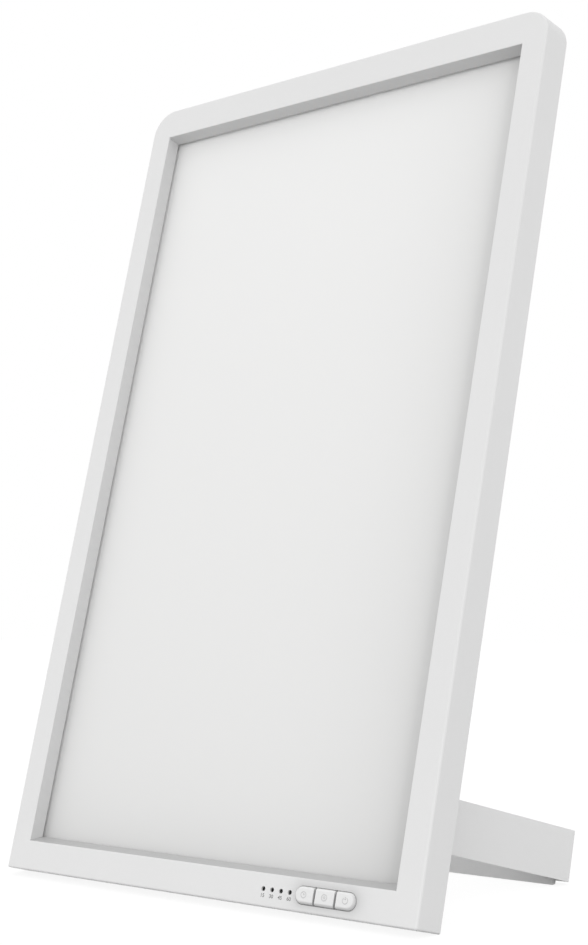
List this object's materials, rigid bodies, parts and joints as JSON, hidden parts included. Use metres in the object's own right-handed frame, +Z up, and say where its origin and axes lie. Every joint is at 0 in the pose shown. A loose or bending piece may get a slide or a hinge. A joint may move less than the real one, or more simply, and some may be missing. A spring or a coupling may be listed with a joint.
{
  "type": "light therapy lamp",
  "caption": "Slim white light therapy panel that leans on a folding bent-steel stand, with a row of keys and small indicator windows on its lower border.",
  "frame": {"origin": "on the table, midway across and midway front to back of the part's box", "axes": "+Z up from the table, +Y to the back where the stand reaches, +X to the right as the lit face is looked at"},
  "size_m": [0.2948, 0.1824, 0.4849],
  "materials": {
    "white_shell": "fine satin moulded, off-white",
    "white_steel": "satin white powder coat on bent sheet steel",
    "lit_diffuser": "translucent white acrylic, softly satin",
    "clear_guide": "clear acrylic with a printed dot back",
    "white_sheet": "white reflective film",
    "foam": "closed-cell white foam tape",
    "key_white": "fine satin moulded",
    "smoked_lens": "smoked, gloss",
    "bare_aluminium": "mill finish",
    "diode_yellow": "phosphor-filled package",
    "board_green": "solder-masked fibreglass",
    "black_plastic": "moulded",
    "steel_plated": "bright zinc plated",
    "white_screw": "white enamelled steel",
    "ferrite": "ferrite core under varnish",
    "can_aluminium": "sleeved can",
    "cable_white": "soft insulation",
    "contact_brass": "plated",
    "foot_rubber": "pale grey, matt",
    "bush_white": "acetal"
  },
  "bodies": {
    "panel": {"control_board": "board_green", "control_board_screws": "steel_plated", "control_header": "black_plastic", "control_ribbon": "cable_white", "cover_screws": "white_screw", "diffuser_gasket": "foam", "diffuser_plate": "lit_diffuser", "driver_board": "board_green", "driver_board_screws": "steel_plated", "driver_capacitors": "can_aluminium", "driver_chip": "black_plastic", "driver_coil": "ferrite", "driver_headers": "bush_white", "front_frame": "white_shell", "heat_rail_left": "bare_aluminium", "heat_rail_right": "bare_aluminium", "hinge_bolts": "white_screw", "hinge_nuts": "steel_plated", "hinge_washers": "bush_white", "indicator_diodes": "diode_yellow", "indicator_lenses": "smoked_lens", "jack_nut": "steel_plated", "jack_pin": "contact_brass", "light_guide": "clear_guide", "light_strip_left": "bare_aluminium", "light_strip_right": "bare_aluminium", "power_jack": "black_plastic", "power_lead": "cable_white", "rear_cover": "white_shell", "reflector_sheet": "white_sheet", "strip_diodes_left": "diode_yellow", "strip_diodes_right": "diode_yellow", "strip_lead_left": "cable_white", "strip_lead_right": "cable_white", "switch_bodies": "black_plastic"},
    "stand": {"stand_frame": "white_steel", "foot_bar": "white_shell", "foot_pads": "foot_rubber", "foot_screws": "white_screw", "hinge_bushes": "bush_white"},
    "key_left_unit": {"key_left": "key_white", "plunger_left": "black_plastic"},
    "key_middle_unit": {"key_middle": "key_white", "plunger_middle": "black_plastic"},
    "key_right_unit": {"key_right": "key_white", "plunger_right": "black_plastic"}
  },
  "joints": [
    {"name": "stand_fold", "type": "hinge", "parent": "panel", "child": "stand", "pos_m": [0, -0.0438, 0.05145], "axis": [1, 0, 0], "range_deg": [0, 90]},
    {"name": "key_left_press", "type": "slide", "parent": "panel", "child": "key_left_unit", "axis": [0, 0.9638, -0.2666], "range_m": [0, 0.0008], "stiffness_N_per_m": 900},
    {"name": "key_middle_press", "type": "slide", "parent": "panel", "child": "key_middle_unit", "axis": [0, 0.9638, -0.2666], "range_m": [0, 0.0008], "stiffness_N_per_m": 900},
    {"name": "key_right_press", "type": "slide", "parent": "panel", "child": "key_right_unit", "axis": [0, 0.9638, -0.2666], "range_m": [0, 0.0008], "stiffness_N_per_m": 900}
  ]
}
